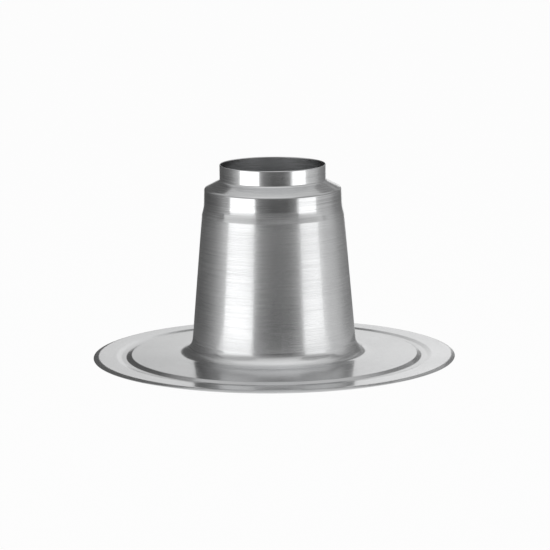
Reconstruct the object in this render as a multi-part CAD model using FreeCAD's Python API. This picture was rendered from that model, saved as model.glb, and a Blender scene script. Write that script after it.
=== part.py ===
import FreeCAD, Part
import math
import os

# Pipe flashing for a flat roof: one piece of aluminium sheet, spun over a former.
# The axis is Z, and the flange rests on z = 0.
# Outline sizes are on the weather side, and the wall lies behind it.

# Sheet
wall = 1.2                   # thickness of the sheet

# Heights
overall_height = 241.0       # from the roof to the top rim
collar_length = 19.6         # upright neck round the pipe
shoulder_drop = 9.8          # conical shoulder under the neck
band_length = 22.7           # near upright band under the shoulder
step_drop = 9.7              # soft step from the band out to the body

# Neck, band and body
pipe_bore = 129.0            # inside of the neck
band_diameter = 169.5        # at the top of the band
band_draft = 1.9             # degrees off upright
step_width = 2.3             # soft step, seen from above
body_foot_diameter = 205.1   # where body and flange would meet without their bend

# Flange, from the edge inwards
flange_diameter = 450.0
lip_width = 5.6              # turned-down edge, seen from above
rim_width = 23.4             # between the lip and the groove
rim_rise = 0.2               # crown above the rim's inner edge
bank_width = 6.0             # outer side of the ring groove, seen from above
bank_rise = 1.7              # from the groove out to the rim
seat_width = 6.5             # level bottom of the groove, which lies on the roof
ring_width = 6.0             # inner side of the groove, seen from above
ring_height = 2.8            # from the groove up to the disc
disc_slope = 2.6             # degrees, from the groove up to the body

# Bends, by the radius on the inside of each
neck_bend = 2.6
shoulder_bend = 2.6
band_bend = 48.0
step_bend = 5.0
foot_bend = 18.0
ring_bend = 1.2
ring_root = 4.0
seat_bend = 5.0
bank_bend = 5.0
crown_bend = 12.0


def tan_deg(angle):
    return math.tan(math.radians(angle))


# Levels and radii down the neck and the body
neck_radius = pipe_bore / 2 + wall
shoulder_top = overall_height - collar_length
band_top = shoulder_top - shoulder_drop
step_top = band_top - band_length
body_top = step_top - step_drop
band_radius = band_diameter / 2
band_foot_radius = band_radius + band_length * tan_deg(band_draft)
body_top_radius = band_foot_radius + step_width
body_foot_radius = body_foot_diameter / 2

# Radii across the flange, from the edge inwards
edge_radius = flange_diameter / 2
crown_radius = edge_radius - lip_width
rim_radius = crown_radius - rim_width
seat_radius = rim_radius - bank_width
ring_foot_radius = seat_radius - seat_width
ring_top_radius = ring_foot_radius - ring_width

# Levels across the flange: seat and lip both touch the roof
seat_level = wall
rim_level = seat_level + bank_rise
crown_level = rim_level + rim_rise
ring_top_level = seat_level + ring_height
body_foot_level = ring_top_level + (ring_top_radius - body_foot_radius) * tan_deg(disc_slope)

# The lip is cut square to the sheet, so its weather side ends above the roof
lip_level = wall * math.cos(math.atan2(crown_level - seat_level, lip_width))

# Corners of the outline from the top rim down, with the bend on the weather side at each
corners = [
    (neck_radius, overall_height, 0),
    (neck_radius, shoulder_top, neck_bend),
    (band_radius, band_top, shoulder_bend + wall),
    (band_foot_radius, step_top, band_bend),
    (body_top_radius, body_top, step_bend + wall),
    (body_foot_radius, body_foot_level, foot_bend),
    (ring_top_radius, ring_top_level, ring_bend + wall),
    (ring_foot_radius, seat_level, ring_root),
    (seat_radius, seat_level, seat_bend),
    (rim_radius, rim_level, bank_bend + wall),
    (crown_radius, crown_level, crown_bend + wall),
    (edge_radius, lip_level, 0),
]


# Straight runs joined by tangent arcs, in the XZ plane
def bent_outline(points):
    edges = []
    spots = [FreeCAD.Vector(r, 0, z) for r, z, bend in points]
    start = spots[0]
    for i in range(1, len(points) - 1):
        corner = spots[i]
        bend = points[i][2]
        back = (spots[i - 1] - corner).normalize()
        ahead = (spots[i + 1] - corner).normalize()
        half = back.getAngle(ahead) / 2
        run = bend / math.tan(half)
        inward = (back + ahead).normalize()
        middle = corner + inward * (bend / math.sin(half) - bend)
        edges.append(Part.makeLine(start, corner + back * run))
        edges.append(Part.Arc(corner + back * run, middle, corner + ahead * run).toShape())
        start = corner + ahead * run
    edges.append(Part.makeLine(start, spots[-1]))
    return Part.Wire(edges)


# The sheet's section is the outline thickened inwards by one wall, and it is spun round Z
section = bent_outline(corners).makeOffset2D(-wall, 0, True, True)
flashing = section.revolve(FreeCAD.Vector(0, 0, 0), FreeCAD.Vector(0, 0, 1), 360)

os.makedirs("parts", exist_ok=True)
flashing.exportStep("parts/flashing.step")
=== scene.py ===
import math
import bpy
import numpy as np
from mathutils import Matrix, Vector


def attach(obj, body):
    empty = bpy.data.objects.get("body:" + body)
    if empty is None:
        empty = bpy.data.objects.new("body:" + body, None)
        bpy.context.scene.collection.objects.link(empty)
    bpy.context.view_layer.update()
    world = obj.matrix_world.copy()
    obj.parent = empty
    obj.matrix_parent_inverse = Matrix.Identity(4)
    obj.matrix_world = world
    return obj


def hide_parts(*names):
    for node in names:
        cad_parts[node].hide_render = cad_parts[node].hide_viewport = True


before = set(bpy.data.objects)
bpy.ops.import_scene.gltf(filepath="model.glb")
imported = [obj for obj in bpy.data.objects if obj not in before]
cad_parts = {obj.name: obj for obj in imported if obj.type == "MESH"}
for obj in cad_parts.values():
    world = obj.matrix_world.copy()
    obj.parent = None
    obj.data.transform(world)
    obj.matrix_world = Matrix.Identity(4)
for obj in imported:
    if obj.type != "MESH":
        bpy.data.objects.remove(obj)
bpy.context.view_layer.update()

# sizes of the spun sheet in millimetres, on its weather side
sheet = {
    "wall": 1.2,
    "height": 241.0,
    "collar": 19.6,  # upright neck
    "shoulder": 9.8,
    "band": 22.7,
    "bandDraft": 1.9,  # degrees off upright
    "step": (2.3, 9.7),  # out and down
    "bore": 129.0,
    "bandAcross": 169.5,
    "footAcross": 205.1,  # where body and disc would meet without their bend
    "flangeAcross": 450.0,
    "lip": 5.6,
    "rim": (23.4, 0.2),  # width and rise
    "bank": (6.0, 1.7),  # outer side of the groove, width and rise
    "seat": 6.5,  # bottom of the groove
    "ring": (6.0, 2.8),  # inner side of the groove, width and rise
    "discSlope": 2.6,  # degrees
    "bends": (2.6, 3.8, 48.0, 6.2, 18.0, 2.4, 4.0, 5.0, 6.2, 13.2),  # radii from the neck out to the lip
    "edge": 1.1,  # how far the cut edges are rounded
    "edgeRows": 7,  # over each cut edge
    "arcRows": 8,  # on each bend
    "spacing": 4.0,  # between rows on straight runs
    "columns": 256,  # round the axis
}


# corners of the outline from the top rim out to the lip, as radius and height
def outlineCorners(v):
    neck = v["bore"] / 2 + v["wall"]
    bandTop = v["height"] - v["collar"] - v["shoulder"]
    bandFoot = bandTop - v["band"]
    bandOut = v["bandAcross"] / 2 + v["band"] * math.tan(math.radians(v["bandDraft"]))
    edge = v["flangeAcross"] / 2
    crown = edge - v["lip"]
    rim = crown - v["rim"][0]
    seat = rim - v["bank"][0]
    ringFoot = seat - v["seat"]
    ringTop = ringFoot - v["ring"][0]
    discEdge = v["wall"] + v["ring"][1]
    foot = v["footAcross"] / 2
    lipDrop = v["bank"][1] + v["rim"][1]
    return np.array([
        (neck, v["height"]),
        (neck, v["height"] - v["collar"]),
        (v["bandAcross"] / 2, bandTop),
        (bandOut, bandFoot),
        (bandOut + v["step"][0], bandFoot - v["step"][1]),
        (foot, discEdge + (ringTop - foot) * math.tan(math.radians(v["discSlope"]))),
        (ringTop, discEdge),
        (ringFoot, v["wall"]),
        (seat, v["wall"]),
        (rim, v["wall"] + v["bank"][1]),
        (crown, v["wall"] + lipDrop),
        (edge, v["wall"] * math.cos(math.atan2(lipDrop, v["lip"]))),
    ])


# straight runs joined by arcs that touch both; each row has a place and the sheet's outward normal
def outlineRows(v):
    corner = outlineCorners(v)
    heading = np.diff(corner, axis=0)
    heading /= np.linalg.norm(heading, axis=1)[:, None]
    rows, normals = [], []
    start = corner[0] + heading[0] * v["edge"]
    for i, bend in enumerate((*v["bends"], 0), 1):
        last = i == len(heading)
        run = heading[i - 1]
        turn = 0 if last else math.atan2(run[0] * heading[i][1] - run[1] * heading[i][0], run @ heading[i])
        short = v["edge"] if last else bend * math.tan(abs(turn) / 2)
        stop = corner[i] - run * short
        out = np.array([-run[1], run[0]])
        count = max(2, math.ceil(np.linalg.norm(stop - start) / v["spacing"]))
        share = np.linspace(0, 1, count + 1)[:, None]
        rows.append(start + (stop - start) * share)
        normals.append(np.repeat(out[None], count + 1, 0))
        if last:
            break
        # arc about the bend's centre, without its ends
        way = math.copysign(1, turn)
        centre = stop + out * bend * way
        angle = turn * np.linspace(0, 1, v["arcRows"] + 2)[1:-1]
        spun = np.stack([out[0] * np.cos(angle) - out[1] * np.sin(angle),
                         out[0] * np.sin(angle) + out[1] * np.cos(angle)], 1)
        rows.append(centre - spun * bend * way)
        normals.append(spun)
        start = corner[i] + heading[i] * short
    return np.concatenate(rows), np.concatenate(normals)


# half an ellipse over a cut edge: cosine across the wall and sine along the sheet
def cutEdge(point, normal, along, v):
    t = np.linspace(0, math.pi, v["edgeRows"] + 2)[1:-1, None]
    half = v["wall"] / 2
    place = point - normal * half + normal * np.cos(t) * half + along * np.sin(t) * v["edge"]
    facing = normal * np.cos(t) / half + along * np.sin(t) / v["edge"]
    return place, facing / np.linalg.norm(facing, axis=1)[:, None]


# the closed section is turned round Z: x is radius times cosine, y is radius times sine, z stays
def buildSheet(v):
    outer, normal = outlineRows(v)
    inner = outer - normal * v["wall"]
    lip, lipFacing = cutEdge(outer[-1], normal[-1], np.array([normal[-1][1], -normal[-1][0]]), v)
    top, topFacing = cutEdge(inner[0], -normal[0], np.array([0.0, 1.0]), v)
    section = np.concatenate([outer, lip, inner[::-1], top]) / 1000  # millimetres to metres
    facing = np.concatenate([normal, lipFacing, -normal[::-1], topFacing])
    steps = np.linalg.norm(np.diff(outer, axis=0), axis=1) / 1000
    length = np.concatenate([[0], np.cumsum(steps)])
    along = np.concatenate([length, np.full(len(lip), length[-1]), length[::-1], np.zeros(len(top))])
    rows, columns = len(section), v["columns"]
    angle = np.linspace(0, 2 * math.pi, columns, endpoint=False) + math.pi / 2  # seam at the back
    ring = np.stack([np.cos(angle), np.sin(angle)], 1)

    def spin(profile):
        flat = profile[:, None, 0, None] * ring
        return np.concatenate([flat, np.repeat(profile[:, None, 1:], columns, 1)], 2).reshape(-1, 3)

    index = np.arange(rows * columns).reshape(rows, columns)
    below = np.roll(index, -1, 0)
    faces = np.stack([index, below, np.roll(below, -1, 1), np.roll(index, -1, 1)], 2).reshape(-1, 4)
    mesh = bpy.data.meshes.new("flashing_sheet")
    mesh.from_pydata(spin(section).tolist(), [], faces.tolist())
    mesh.polygons.foreach_set("use_smooth", np.ones(len(faces), bool))
    # u is the share of a turn, v runs along the sheet in metres
    turns = np.arange(columns + 1) / columns
    uv = np.stack(np.meshgrid(turns, np.append(along, along[:1])), 2)
    loops = np.stack([uv[:-1, :-1], uv[1:, :-1], uv[1:, 1:], uv[:-1, 1:]], 2)
    layer = mesh.uv_layers.new(name="sheet")
    layer.data.foreach_set("uv", loops.astype(np.float32).ravel())
    measure = mesh.attributes.new("along", "FLOAT", "POINT")
    measure.data.foreach_set("value", np.repeat(along, columns).astype(np.float32))
    mesh.update()
    mesh.normals_split_custom_set_from_vertices(spin(facing).tolist())
    piece = bpy.data.objects.new("flashing_sheet", mesh)
    bpy.context.collection.objects.link(piece)
    return piece


# stops are metres along the sheet from the top rim, with a value at each
metal = {
    "colour": (0.755, 0.76, 0.765),
    "dull": (0.69, 0.695, 0.7),  # in the darker clouds
    "cloudScale": 9.0,
    "cloudDetail": 5.0,
    "cloudRange": (0.35, 0.65),
    # share of the colour, painted shade: lower on the collar, the band's upper part and the disc, to darken
    # their reflections and highlights
    "toneAndShade": ((0.0, 0.92), (0.036, 0.93), (0.043, 0.78), (0.05, 0.78), (0.062, 0.88), (0.07, 0.96),
             (0.24, 0.96), (0.265, 0.86), (0.322, 0.86), (0.333, 1.0), (0.39, 1.0)),
    # depth of the turning marks in the colour
    "marks": ((0.0, 0.5), (0.036, 0.35), (0.043, 0.8), (0.06, 0.7), (0.07, 0.2),
              (0.22, 0.18), (0.25, 0.07), (0.39, 0.07)),
    # roughness
    "finish": ((0.0, 0.18), (0.045, 0.15), (0.062, 0.16), (0.085, 0.29),
               (0.15, 0.28), (0.21, 0.215), (0.26, 0.18), (0.39, 0.18)),
    "streaks": 2.0,  # power by which the fine lines spread the roughness
    "grain": 0.3,  # stretch of the reflections across the lines
    "grainTurn": 0.25,  # of a full turn
    "lines": 30000.0,  # fine lines per metre
    "ridges": 1100.0,  # coarser ones that show as marks
    "lineDetail": 1.0,
    "lineRoughness": 0.6,
    "bump": 0.1,
    "bumpHeight": 0.0001,
}


# one step of arithmetic: numbers are set on its sockets, other values are linked
def addMath(nodes, links, operation, *values):
    step = nodes.new("ShaderNodeMath")
    step.operation = operation
    for socket, value in zip(step.inputs, values):
        if isinstance(value, (int, float)):
            socket.default_value = value
        else:
            links.new(value, socket)
    return step.outputs["Value"]


# greys that run straight from stop to stop along a length
def greyRamp(nodes, links, value, stops):
    first, last = stops[0][0], stops[-1][0]
    span = nodes.new("ShaderNodeMapRange")
    span.inputs["From Min"].default_value = first
    span.inputs["From Max"].default_value = last
    links.new(value, span.inputs["Value"])
    ramp = nodes.new("ShaderNodeValToRGB")
    spots = ramp.color_ramp.elements
    for at, grey in stops[1:-1]:
        spots.new((at - first) / (last - first)).color = (grey, grey, grey, 1)
    spots[0].color = (*[stops[0][1]] * 3, 1)
    spots[-1].color = (*[stops[-1][1]] * 3, 1)
    links.new(span.outputs["Result"], ramp.inputs["Fac"])
    return ramp.outputs["Color"]


# noise drawn out round the axis: heading from the axis, plus length along the sheet times lines per metre
def turnedNoise(nodes, links, heading, along, perMetre, v):
    lift = nodes.new("ShaderNodeCombineXYZ")
    links.new(addMath(nodes, links, "MULTIPLY", along, perMetre), lift.inputs["Z"])
    where = nodes.new("ShaderNodeVectorMath")
    where.operation = "ADD"
    links.new(heading, where.inputs[0])
    links.new(lift.outputs["Vector"], where.inputs[1])
    noise = nodes.new("ShaderNodeTexNoise")
    noise.inputs["Scale"].default_value = 1.0
    noise.inputs["Detail"].default_value = v["lineDetail"]
    noise.inputs["Roughness"].default_value = v["lineRoughness"]
    links.new(where.outputs["Vector"], noise.inputs["Vector"])
    return noise.outputs["Fac"]


# turned aluminium: colour from clouds, marks and painted shade along the sheet, roughness from fine lines,
# bump from coarse ones
def turnedMetal(v):
    mat = bpy.data.materials.new("turned aluminium")
    mat.use_nodes = True
    nodes, links = mat.node_tree.nodes, mat.node_tree.links
    shader = nodes["Principled BSDF"]
    shader.inputs["Metallic"].default_value = 1.0
    shader.inputs["Anisotropic"].default_value = v["grain"]
    shader.inputs["Anisotropic Rotation"].default_value = v["grainTurn"]
    tangent = nodes.new("ShaderNodeTangent")
    tangent.direction_type = "UV_MAP"
    tangent.uv_map = "sheet"
    links.new(tangent.outputs["Tangent"], shader.inputs["Tangent"])
    place = nodes.new("ShaderNodeTexCoord")
    parts = nodes.new("ShaderNodeSeparateXYZ")
    links.new(place.outputs["Object"], parts.inputs["Vector"])
    measure = nodes.new("ShaderNodeAttribute")
    measure.attribute_name = "along"
    along = measure.outputs["Fac"]
    # heading: direction away from the axis
    flat = nodes.new("ShaderNodeCombineXYZ")
    links.new(parts.outputs["X"], flat.inputs["X"])
    links.new(parts.outputs["Y"], flat.inputs["Y"])
    unit = nodes.new("ShaderNodeVectorMath")
    unit.operation = "NORMALIZE"
    links.new(flat.outputs["Vector"], unit.inputs[0])
    heading = unit.outputs["Vector"]
    lines = turnedNoise(nodes, links, heading, along, v["lines"], v)
    ridges = turnedNoise(nodes, links, heading, along, v["ridges"], v)
    clouds = nodes.new("ShaderNodeTexNoise")
    clouds.inputs["Scale"].default_value = v["cloudScale"]
    clouds.inputs["Detail"].default_value = v["cloudDetail"]
    links.new(place.outputs["Object"], clouds.inputs["Vector"])
    # clouds: the metal's own tone, varying at random
    toneAndShade = nodes.new("ShaderNodeValToRGB")
    for spot, at, colour in zip(toneAndShade.color_ramp.elements, v["cloudRange"], (v["dull"], v["colour"])):
        spot.position = at
        spot.color = (*colour, 1)
    links.new(clouds.outputs["Fac"], toneAndShade.inputs["Fac"])
    # share of the colour: the painted shade along the sheet times one plus the marks' depth times the ridges
    # less a half
    swing = addMath(nodes, links, "SUBTRACT", ridges, 0.5)
    depth = greyRamp(nodes, links, along, v["marks"])
    marks = addMath(nodes, links, "MULTIPLY_ADD", swing, depth, 1.0)
    share = addMath(nodes, links, "MULTIPLY", greyRamp(nodes, links, along, v["toneAndShade"]), marks)
    # base colour: clouds times the marks and the painted shade along the sheet
    cloudsMarksAndShade = nodes.new("ShaderNodeMix")
    cloudsMarksAndShade.data_type = "RGBA"
    cloudsMarksAndShade.blend_type = "MULTIPLY"
    cloudsMarksAndShade.inputs["Factor"].default_value = 1.0
    links.new(toneAndShade.outputs["Color"], cloudsMarksAndShade.inputs["A"])
    links.new(share, cloudsMarksAndShade.inputs["B"])
    links.new(cloudsMarksAndShade.outputs["Result"], shader.inputs["Base Color"])
    # roughness: finish times a power of twice the lines, and the power is the streaks
    finish = greyRamp(nodes, links, along, v["finish"])
    spread = addMath(nodes, links, "POWER", addMath(nodes, links, "MULTIPLY", lines, 2.0), v["streaks"])
    links.new(addMath(nodes, links, "MULTIPLY", finish, spread), shader.inputs["Roughness"])
    bump = nodes.new("ShaderNodeBump")
    bump.inputs["Strength"].default_value = v["bump"]
    bump.inputs["Distance"].default_value = v["bumpHeight"]
    links.new(ridges, bump.inputs["Height"])
    links.new(bump.outputs["Normal"], shader.inputs["Normal"])
    return mat


flashing = buildSheet(sheet)
flashing.data.materials.append(turnedMetal(metal))
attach(flashing, "root")
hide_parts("flashing")
print("sheet", len(flashing.data.polygons), "faces")

room = {
    "floor": 6.0,  # half its width
    "floorGlow": 0.97,
    "floorColour": (0.9, 0.9, 0.9),
    "under": 0.22,  # radius of the painted shadow, a patch of dimmer glow under the flange
    "shadowGlow": 0.3,  # its share of the glow in the painted shadow
    "worldLeft": (0.08, 0.08, 0.08),
    "worldRight": (0.3, 0.3, 0.3),
    "worldBlend": 0.4,  # half the stretch between the two
}


# pale floor: glow for camera, mirror and glass rays, plain diffuse for the others, so it keeps the shadow
def floorMaterial(v):
    mat = bpy.data.materials.new("pale floor")
    mat.use_nodes = True
    nodes, links = mat.node_tree.nodes, mat.node_tree.links
    nodes.clear()
    paint = nodes.new("ShaderNodeBsdfDiffuse")
    paint.inputs["Color"].default_value = (*v["floorColour"], 1)
    glow = nodes.new("ShaderNodeEmission")
    path = nodes.new("ShaderNodeLightPath")
    seen = addMath(nodes, links, "MAXIMUM", path.outputs["Is Camera Ray"], path.outputs["Is Glossy Ray"])
    through = addMath(nodes, links, "MAXIMUM", seen, path.outputs["Is Transmission Ray"])
    share = addMath(nodes, links, "MULTIPLY", through, v["floorGlow"])
    # painted shadow: dimmer glow on the round patch that the object stands on
    place = nodes.new("ShaderNodeTexCoord")
    reach = nodes.new("ShaderNodeVectorMath")
    reach.operation = "LENGTH"
    links.new(place.outputs["Object"], reach.inputs[0])
    beyond = addMath(nodes, links, "GREATER_THAN", reach.outputs["Value"], v["under"])
    paintedShadow = addMath(nodes, links, "MULTIPLY_ADD", beyond, 1 - v["shadowGlow"], v["shadowGlow"])
    mix = nodes.new("ShaderNodeMixShader")
    links.new(addMath(nodes, links, "MULTIPLY", share, paintedShadow), mix.inputs["Fac"])
    links.new(paint.outputs["BSDF"], mix.inputs[1])
    links.new(glow.outputs["Emission"], mix.inputs[2])
    # clear from below
    side = nodes.new("ShaderNodeNewGeometry")
    clear = nodes.new("ShaderNodeBsdfTransparent")
    either = nodes.new("ShaderNodeMixShader")
    links.new(side.outputs["Backfacing"], either.inputs["Fac"])
    links.new(mix.outputs["Shader"], either.inputs[1])
    links.new(clear.outputs["BSDF"], either.inputs[2])
    out = nodes.new("ShaderNodeOutputMaterial")
    links.new(either.outputs["Shader"], out.inputs["Surface"])
    return mat


def addFloor(v):
    h = v["floor"]
    mesh = bpy.data.meshes.new("floor")
    mesh.from_pydata([(-h, -h, 0), (h, -h, 0), (h, h, 0), (-h, h, 0)], [], [(0, 1, 2, 3)])
    floor = bpy.data.objects.new("floor", mesh)
    mesh.materials.append(floorMaterial(v))
    bpy.context.collection.objects.link(floor)


# world that blends from a darker left to a lighter right
def setWorld(v):
    world = bpy.data.worlds.new("room")
    bpy.context.scene.world = world
    world.use_nodes = True
    nodes, links = world.node_tree.nodes, world.node_tree.links
    place = nodes.new("ShaderNodeTexCoord")
    parts = nodes.new("ShaderNodeSeparateXYZ")
    links.new(place.outputs["Generated"], parts.inputs["Vector"])
    span = nodes.new("ShaderNodeMapRange")
    span.inputs["From Min"].default_value = -v["worldBlend"]
    span.inputs["From Max"].default_value = v["worldBlend"]
    links.new(parts.outputs["X"], span.inputs["Value"])
    mix = nodes.new("ShaderNodeMix")
    mix.data_type = "RGBA"
    links.new(span.outputs["Result"], mix.inputs["Factor"])
    mix.inputs["A"].default_value = (*v["worldLeft"], 1)
    mix.inputs["B"].default_value = (*v["worldRight"], 1)
    links.new(mix.outputs["Result"], nodes["Background"].inputs["Color"])


addFloor(room)
setWorld(room)
print("room ready")

# cards round the object: corners on the floor in metres, heights, and greys between stops
stand = {
    "low": 0.001,  # edges on the floor
    "rightFoot": ((0.9, -0.27), (0.616, -0.06), (0.4, 0.1), (0.39, 0.25), (0.387, 0.48), (0.38, 1.1)),
    "rightInner": ((0.55, -0.145), (0.22, -0.06), (0.205, 0.1), (0.13, 0.2), (0.133, 0.48), (0.15, 1.1)),
    "rightSplit": 0.265,  # top of the lower right card
    "leadTop": 0.331,  # of the card in front of the right wing
    "tailTop": 0.661,  # of the last card at the right
    "leftEnd": (-0.38, 1.7),  # the left side mirrors the right one and goes on to here
    "leftSplit": 0.221,  # top of the lower left card
    "wingTop": 0.826,
    "frontFoot": ((-0.42, -0.8), (0.56, -0.72)),
    "frontInner": ((-0.26, -0.4), (0.34, -0.36)),
    "frontSplit": 0.151,  # top of the lower front card
    "frontTop": 0.401,
    "boxFoot": ((-0.955, -0.296), (-0.501, -0.904)),
    "boxInner": ((-0.3, -0.09), (-0.18, -0.24)),
    "leftHighFoot": ((-1.1, -0.1), (-0.48, -0.93)),
    "rightHighFoot": ((0.661, -0.772), (1.011, -0.148)),
    "boxTop": 0.24,  # the high cards start over the boxes
    "highTop": 1.8,
    "backFoot": ((-0.66, 5.2), (1.0, 5.2)),
    "backTop": 3.4,
    # greys by depth
    "left": ((-0.27, 0.66), (-0.06, 0.45), (0.02, 0.29), (0.08, 0.19),
             (0.14, 0.15), (0.3, 0.11), (3.0, 0.11)),
    "right": ((-0.2, 0.8), (-0.06, 0.66), (0.02, 0.64), (0.08, 0.54), (0.14, 0.39),
              (0.22, 0.3), (0.5, 0.21), (0.8, 0.23), (1.1, 0.55)),
    "rightTail": ((0.48, 0.26), (0.56, 0.36), (0.6, 0.52), (0.69, 0.52),
                  (0.76, 0.22), (0.9, 0.22), (1.1, 0.55)),
    # greys by height
    "leftWing": ((0.22, 0.22), (0.32, 0.27), (0.43, 0.45), (0.58, 0.62), (0.825, 0.72)),
    "leftTop": ((0.22, 0.14), (0.48, 0.14), (0.6, 0.45), (0.825, 0.62)),
    "rightWing": ((0.26, 0.3), (0.3, 0.27), (0.36, 0.36), (0.45, 0.58), (0.55, 0.72), (0.825, 0.75)),
    "rightTop": ((0.22, 0.28), (0.4, 0.25), (0.48, 0.3), (0.58, 0.55), (0.825, 0.68)),
    "leftHigh": ((0.24, 1.0), (0.36, 0.85), (0.5, 0.6), (0.7, 0.5), (0.9, 0.53), (1.3, 0.64), (1.8, 0.7)),
    "rightHigh": ((0.24, 0.82), (0.36, 0.64), (0.5, 0.44), (0.6, 0.4), (0.9, 0.42), (1.3, 0.56), (1.8, 0.7)),
    # greys by width
    "frontLow": ((-0.45, 0.45), (-0.25, 0.21), (0.0, 0.09), (0.3, 0.12), (0.6, 0.4)),
    "frontHigh": ((-0.45, 0.5), (-0.25, 0.3), (0.0, 0.25), (0.3, 0.25), (0.6, 0.4)),
    "leftBox": ((-1.0, 1.18), (0.0, 1.18)),
    "back": ((-0.66, 0.72), (0.0, 0.83), (1.0, 0.98)),
    # ceiling ribs: angle up from the front in degrees, reach to the left and right, grey
    "ribs": ((26, 1.05, 1.05, 0.4), (34, 1.05, 1.05, 0.52), (42, 1.1, 1.1, 0.66), (50, 1.2, 1.15, 0.78),
             (66, 1.5, 1.35, 0.88), (75, 1.5, 1.4, 0.93), (84, 1.55, 1.45, 0.92), (94, 1.55, 1.45, 0.84),
             (105, 1.3, 1.25, 0.76), (117, 0.9, 0.9, 0.68), (130, 0.55, 0.55, 0.6)),
    "ceilingRadius": 1.5,
}


# glow of a card: greys between stops along one axis
def cardMaterial(name, axis, stops):
    mat = bpy.data.materials.new(name)
    mat.use_nodes = True
    nodes, links = mat.node_tree.nodes, mat.node_tree.links
    nodes.clear()
    place = nodes.new("ShaderNodeTexCoord")
    parts = nodes.new("ShaderNodeSeparateXYZ")
    links.new(place.outputs["Object"], parts.inputs["Vector"])
    glow = nodes.new("ShaderNodeEmission")
    links.new(greyRamp(nodes, links, parts.outputs[axis], stops), glow.inputs["Color"])
    out = nodes.new("ShaderNodeOutputMaterial")
    links.new(glow.outputs["Emission"], out.inputs["Surface"])
    return mat


# flat strips between two lines of corners, only mirrored in the metal
def addCard(name, lineA, lineB, axis, stops):
    count = len(lineA)
    i = np.arange(count - 1)
    faces = np.stack([i, i + 1, i + 1 + count, i + count], 1)
    mesh = bpy.data.meshes.new(name)
    mesh.from_pydata(np.concatenate([lineA, lineB]).tolist(), [], faces.tolist())
    card = bpy.data.objects.new(name, mesh)
    mesh.materials.append(cardMaterial(name, axis, stops))
    bpy.context.collection.objects.link(card)
    card.visible_camera = False
    card.visible_diffuse = False
    card.visible_shadow = False


# line of corners at one height
def raised(line, height):
    return np.column_stack([line, np.full(len(line), height)])


# upright card over a line of corners, between two heights
def addUpright(name, foot, bottom, top, axis, stops):
    addCard(name, raised(foot, bottom), raised(foot, top), axis, stops)


# card that lies at one height between two lines of corners
def addApron(name, inner, foot, height, axis, stops):
    addCard(name, raised(inner, height), raised(foot, height), axis, stops)


# aprons and lower cards are mirrored in body and flange, the cards over them in the foot bend and the ring
def addSides(v):
    rightFoot, rightInner = np.array(v["rightFoot"]), np.array(v["rightInner"])
    mirror = np.array([-1, 1])
    leftFoot = np.append(rightFoot * mirror, [v["leftEnd"]], 0)
    addApron("left apron", rightInner * mirror, rightFoot * mirror, v["low"], "Y", v["left"])
    addUpright("left card", leftFoot, v["low"], v["leftSplit"], "Y", v["left"])
    addUpright("left wing", leftFoot[1:4], v["leftSplit"], v["wingTop"], "Z", v["leftWing"])
    addUpright("left top card", leftFoot[3:5], v["leftSplit"], v["wingTop"], "Z", v["leftTop"])
    addUpright("left tail", leftFoot[4:], v["leftSplit"], v["wingTop"], "Y", v["left"])
    addApron("right apron", rightInner, rightFoot, v["low"], "Y", v["right"])
    addUpright("right card", rightFoot, v["low"], v["rightSplit"], "Y", v["right"])
    addUpright("right lead", rightFoot[:2], v["rightSplit"], v["leadTop"], "Y", v["right"])
    addUpright("right wing", rightFoot[1:4], v["rightSplit"], v["wingTop"], "Z", v["rightWing"])
    addUpright("right top card", rightFoot[3:5], v["rightSplit"], v["wingTop"], "Z", v["rightTop"])
    addUpright("right tail", rightFoot[4:], v["rightSplit"], v["tailTop"], "Y", v["rightTail"])


# dark front that the body mirrors between the boxes, and pale back that the flange mirrors
def addFrontAndBack(v):
    addApron("front apron", v["frontInner"], v["frontFoot"], v["low"], "X", v["frontLow"])
    addUpright("front low card", v["frontFoot"], v["low"], v["frontSplit"], "X", v["frontLow"])
    addUpright("front high card", v["frontFoot"], v["frontSplit"], v["frontTop"], "X", v["frontHigh"])
    addUpright("back panel", v["backFoot"], 0, v["backTop"], "X", v["back"])


# glow below the left box and over both boxes
def addBoxCards(v):
    addApron("left box apron", v["boxInner"], v["boxFoot"], v["low"], "X", v["leftBox"])
    addUpright("left high card", v["leftHighFoot"], v["boxTop"], v["highTop"], "Z", v["leftHigh"])
    addUpright("right high card", v["rightHighFoot"], v["boxTop"], v["highTop"], "Z", v["rightHigh"])


# ribs on a circle about the X axis: y is minus radius times cosine, z is radius times sine
def addCeiling(v):
    angle, left, right, grey = np.array(v["ribs"]).T
    y = -v["ceilingRadius"] * np.cos(np.radians(angle))
    z = v["ceilingRadius"] * np.sin(np.radians(angle))
    addCard("ceiling", np.stack([-left, y, z], 1), np.stack([right, y, z], 1), "Y", list(zip(y, grey)))


addSides(stand)
addFrontAndBack(stand)
addBoxCards(stand)
addCeiling(stand)
print("cards ready")

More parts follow.
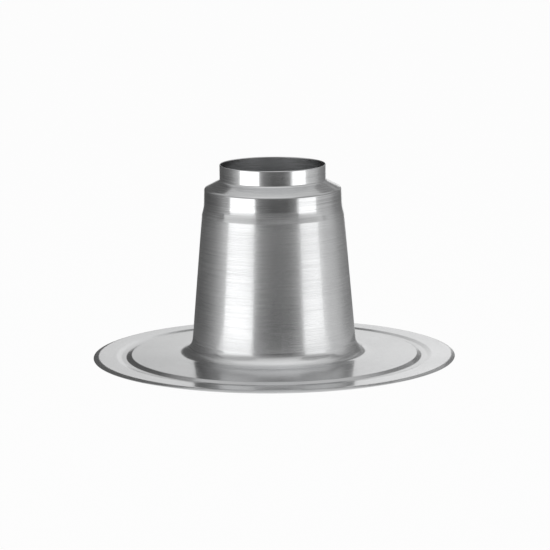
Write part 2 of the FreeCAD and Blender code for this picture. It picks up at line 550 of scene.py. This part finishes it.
# each lamp: place, target, width and height in metres, radiance
lamps = {
    "left box": ((-0.728, -0.6, 0.12), (0.053, 0.024, 0.12), (0.76, 0.24), 1.25),
    "right box": ((0.836, -0.46, 0.12), (-0.036, 0.029, 0.12), (0.68, 0.24), 0.88),
    "top box": ((0.0, 0.0, 1.9), (0.0, 0.0, 0.0), (2.0, 1.2), 0.8),
}


# power of an area lamp: radiance times pi times its area
def addLamp(name, place, target, size, radiance):
    lamp = bpy.data.lights.new(name, "AREA")
    lamp.shape = "RECTANGLE"
    lamp.size, lamp.size_y = size
    lamp.energy = radiance * math.pi * size[0] * size[1]
    holder = bpy.data.objects.new(name, lamp)
    holder.location = place
    holder.rotation_euler = (Vector(target) - Vector(place)).to_track_quat("-Z", "Y").to_euler()
    holder.visible_camera = False
    bpy.context.collection.objects.link(holder)


for name, lamp in lamps.items():
    addLamp(name, *lamp)
print("lamps", len(lamps))

# camera of the photograph: degrees, metres, and pixels of a square frame
shot = {
    "elevation": 11.551,
    "distance": 3.8697,
    "roll": -0.498,
    "focal": 3104.2,
    "originAt": (274.22, 355.491),  # where the middle of the flange's underside is in the frame
    "frame": 550,
    "sensor": 36.0,  # millimetres
}


# looks at the origin from the front, rolls, then swings so that the origin lands on its pixel
def addCamera(v):
    elevation, roll = math.radians(v["elevation"]), math.radians(v["roll"])
    ahead = Vector((0, math.cos(elevation), -math.sin(elevation)))
    side = Vector((1, 0, 0))
    over = side.cross(ahead)
    turnedSide = side * math.cos(roll) + over * math.sin(roll)
    turnedOver = over * math.cos(roll) - side * math.sin(roll)
    shiftX, shiftY = ((v["frame"] / 2 - at) / v["focal"] for at in v["originAt"])
    aim = (ahead + turnedSide * shiftX - turnedOver * shiftY).normalized()
    right = aim.cross(turnedOver).normalized()
    up = right.cross(aim)
    data = bpy.data.cameras.new("camera")
    data.sensor_width = v["sensor"]
    data.lens = v["sensor"] * v["focal"] / v["frame"]
    camera = bpy.data.objects.new("camera", data)
    camera.matrix_world = Matrix((right, up, -aim)).transposed().to_4x4()
    camera.location = -ahead * v["distance"]
    bpy.context.collection.objects.link(camera)
    bpy.context.scene.camera = camera


addCamera(shot)
bpy.context.scene.view_settings.view_transform = "Standard"
print("camera ready")
